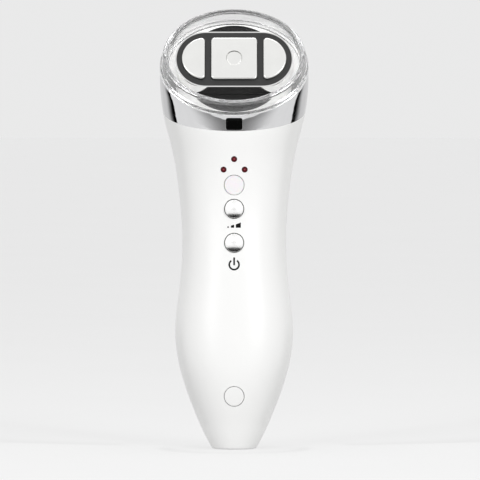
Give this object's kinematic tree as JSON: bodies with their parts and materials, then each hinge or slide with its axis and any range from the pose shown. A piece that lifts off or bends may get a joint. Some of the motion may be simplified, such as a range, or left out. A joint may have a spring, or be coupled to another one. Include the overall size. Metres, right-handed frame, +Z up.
{
  "type": "rf facial device",
  "caption": "Hand-held radio-frequency facial device: waisted white handle with push buttons, slanted chrome head ring, and silver electrodes on a black oval head in a clear ring.",
  "frame": {"origin": "middle of the flat tail on which the device stands", "axes": "+Z up the handle to the head, -Y out of the face with the buttons, +X to the right of that face"},
  "size_m": [0.0588, 0.0514, 0.1739],
  "materials": {
    "white_shell": "injection moulded, gloss",
    "white_button": "injection moulded, high gloss",
    "status_lens": "translucent moulding, gloss",
    "red_light": "tinted clear moulding",
    "chrome_ring": "chrome plated plastic, mirror",
    "black_window": "smoked window, gloss",
    "black_head": "moulded black, satin",
    "clear_ring": "clear moulding, polished",
    "light_guide": "translucent moulding",
    "electrode": "polished, satin",
    "sensor": "satin",
    "silver_trim": "plated",
    "circuit_board": "solder mask",
    "black_part": "moulded",
    "plunger": "moulded",
    "led": "moulded",
    "ferrite": "sintered",
    "copper_wire": "enamelled wire",
    "cell_wrap": "shrink wrapped cell",
    "steel": "plated",
    "brass": "turned"
  },
  "bodies": {
    "handle": {"front_shell": "white_shell", "rear_shell": "white_shell", "screw_cap": "white_shell", "status_lens": "status_lens", "level_lights": "red_light", "head_ring": "chrome_ring", "ring_window": "black_window", "head_plate": "black_head", "electrode_block": "black_head", "clear_ring": "clear_ring", "light_guide": "light_guide", "left_electrode": "electrode", "right_electrode": "electrode", "centre_electrode": "electrode", "sensor_disc": "sensor", "electrode_trim": "silver_trim", "control_board": "circuit_board", "charge_board": "circuit_board", "head_board": "circuit_board", "control_chips": "black_part", "level_switch": "black_part", "power_switch": "black_part", "charge_tongue": "black_part", "indicator_leds": "led", "transformer_core": "ferrite", "transformer_winding": "copper_wire", "battery": "cell_wrap", "battery_tabs": "steel", "charge_socket": "steel", "shell_screw": "steel", "board_screws": "steel", "head_screws": "steel", "electrode_studs": "brass", "stud_nuts": "brass"},
    "level_button": {"level_button": "white_button", "level_plunger": "plunger"},
    "power_button": {"power_button": "white_button", "power_plunger": "plunger"}
  },
  "joints": [
    {"name": "level_press", "type": "slide", "parent": "handle", "child": "level_button", "axis": [0, 1, 0], "range_m": [0, 0.0006], "stiffness_N_per_m": 800},
    {"name": "power_press", "type": "slide", "parent": "handle", "child": "power_button", "axis": [0, 1, 0], "range_m": [0, 0.0006], "stiffness_N_per_m": 800}
  ]
}
